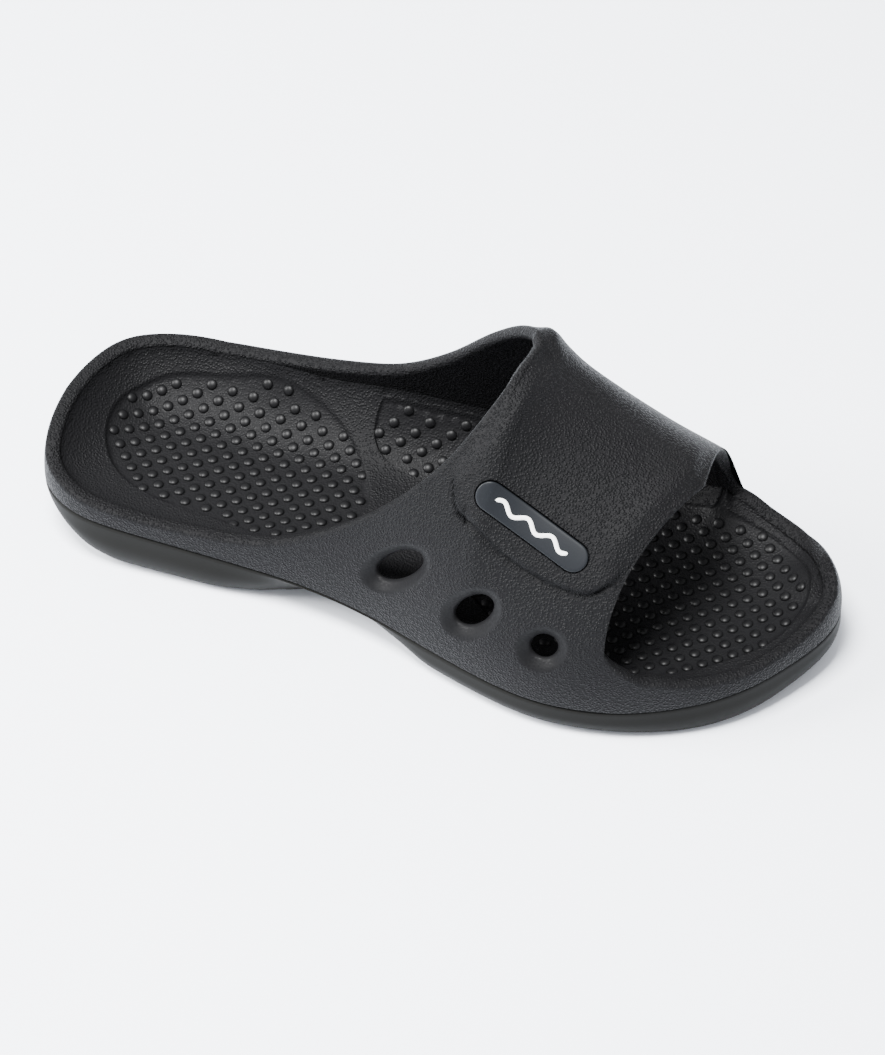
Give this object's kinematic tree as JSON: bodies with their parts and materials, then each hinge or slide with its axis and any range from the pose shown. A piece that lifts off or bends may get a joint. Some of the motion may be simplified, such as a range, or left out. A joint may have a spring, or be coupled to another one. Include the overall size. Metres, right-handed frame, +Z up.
{
  "type": "swim sandal",
  "caption": "Moulded foam pool slide for a right foot: one-piece vented strap and raised rim round a dimpled footbed, open toe and heel, flat outsole.",
  "frame": {"origin": "middle of the length and width of the shoe, on the floor it stands on", "axes": "+X from heel to toe, +Y to the medial side (left, seen from above), +Z up"},
  "size_m": [0.2752, 0.1076, 0.1032],
  "materials": {
    "upper": "pebble grained matte foam",
    "footbed": "pebble grained matte foam",
    "outsole": "smooth satin foam",
    "badge": "smooth satin rubber"
  },
  "bodies": {
    "root": {"upper": "upper", "footbed": "footbed", "outsole": "outsole", "badge": "badge"}
  },
  "joints": []
}
